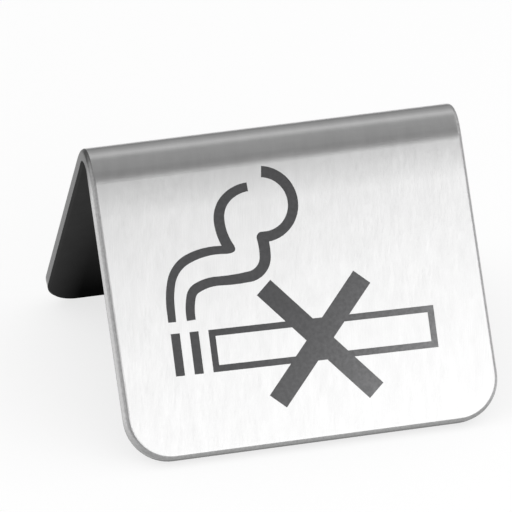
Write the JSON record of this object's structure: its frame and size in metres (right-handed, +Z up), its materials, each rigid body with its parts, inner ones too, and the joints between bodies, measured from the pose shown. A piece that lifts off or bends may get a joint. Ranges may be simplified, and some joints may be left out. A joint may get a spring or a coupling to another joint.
{
  "type": "no smoking sign",
  "caption": "Small table-top no smoking sign, one strip of brushed steel bent into a tent, with the symbol in dark enamel on the front.",
  "frame": {"origin": "centre of the bounding box's bottom, midway between the two foot edges, on the table", "axes": "+X along the bend, to the right as the symbol is read; +Y away from the symbol, to the back leg; +Z up"},
  "size_m": [0.052, 0.0506, 0.0356],
  "materials": {
    "brushed_sheet": "brushed down the slope of each leg, satin",
    "dark_enamel": "satin enamel, flat in the etching"
  },
  "bodies": {
    "root": {"folded_sheet": "brushed_sheet", "symbol_infill": "dark_enamel"}
  },
  "joints": []
}
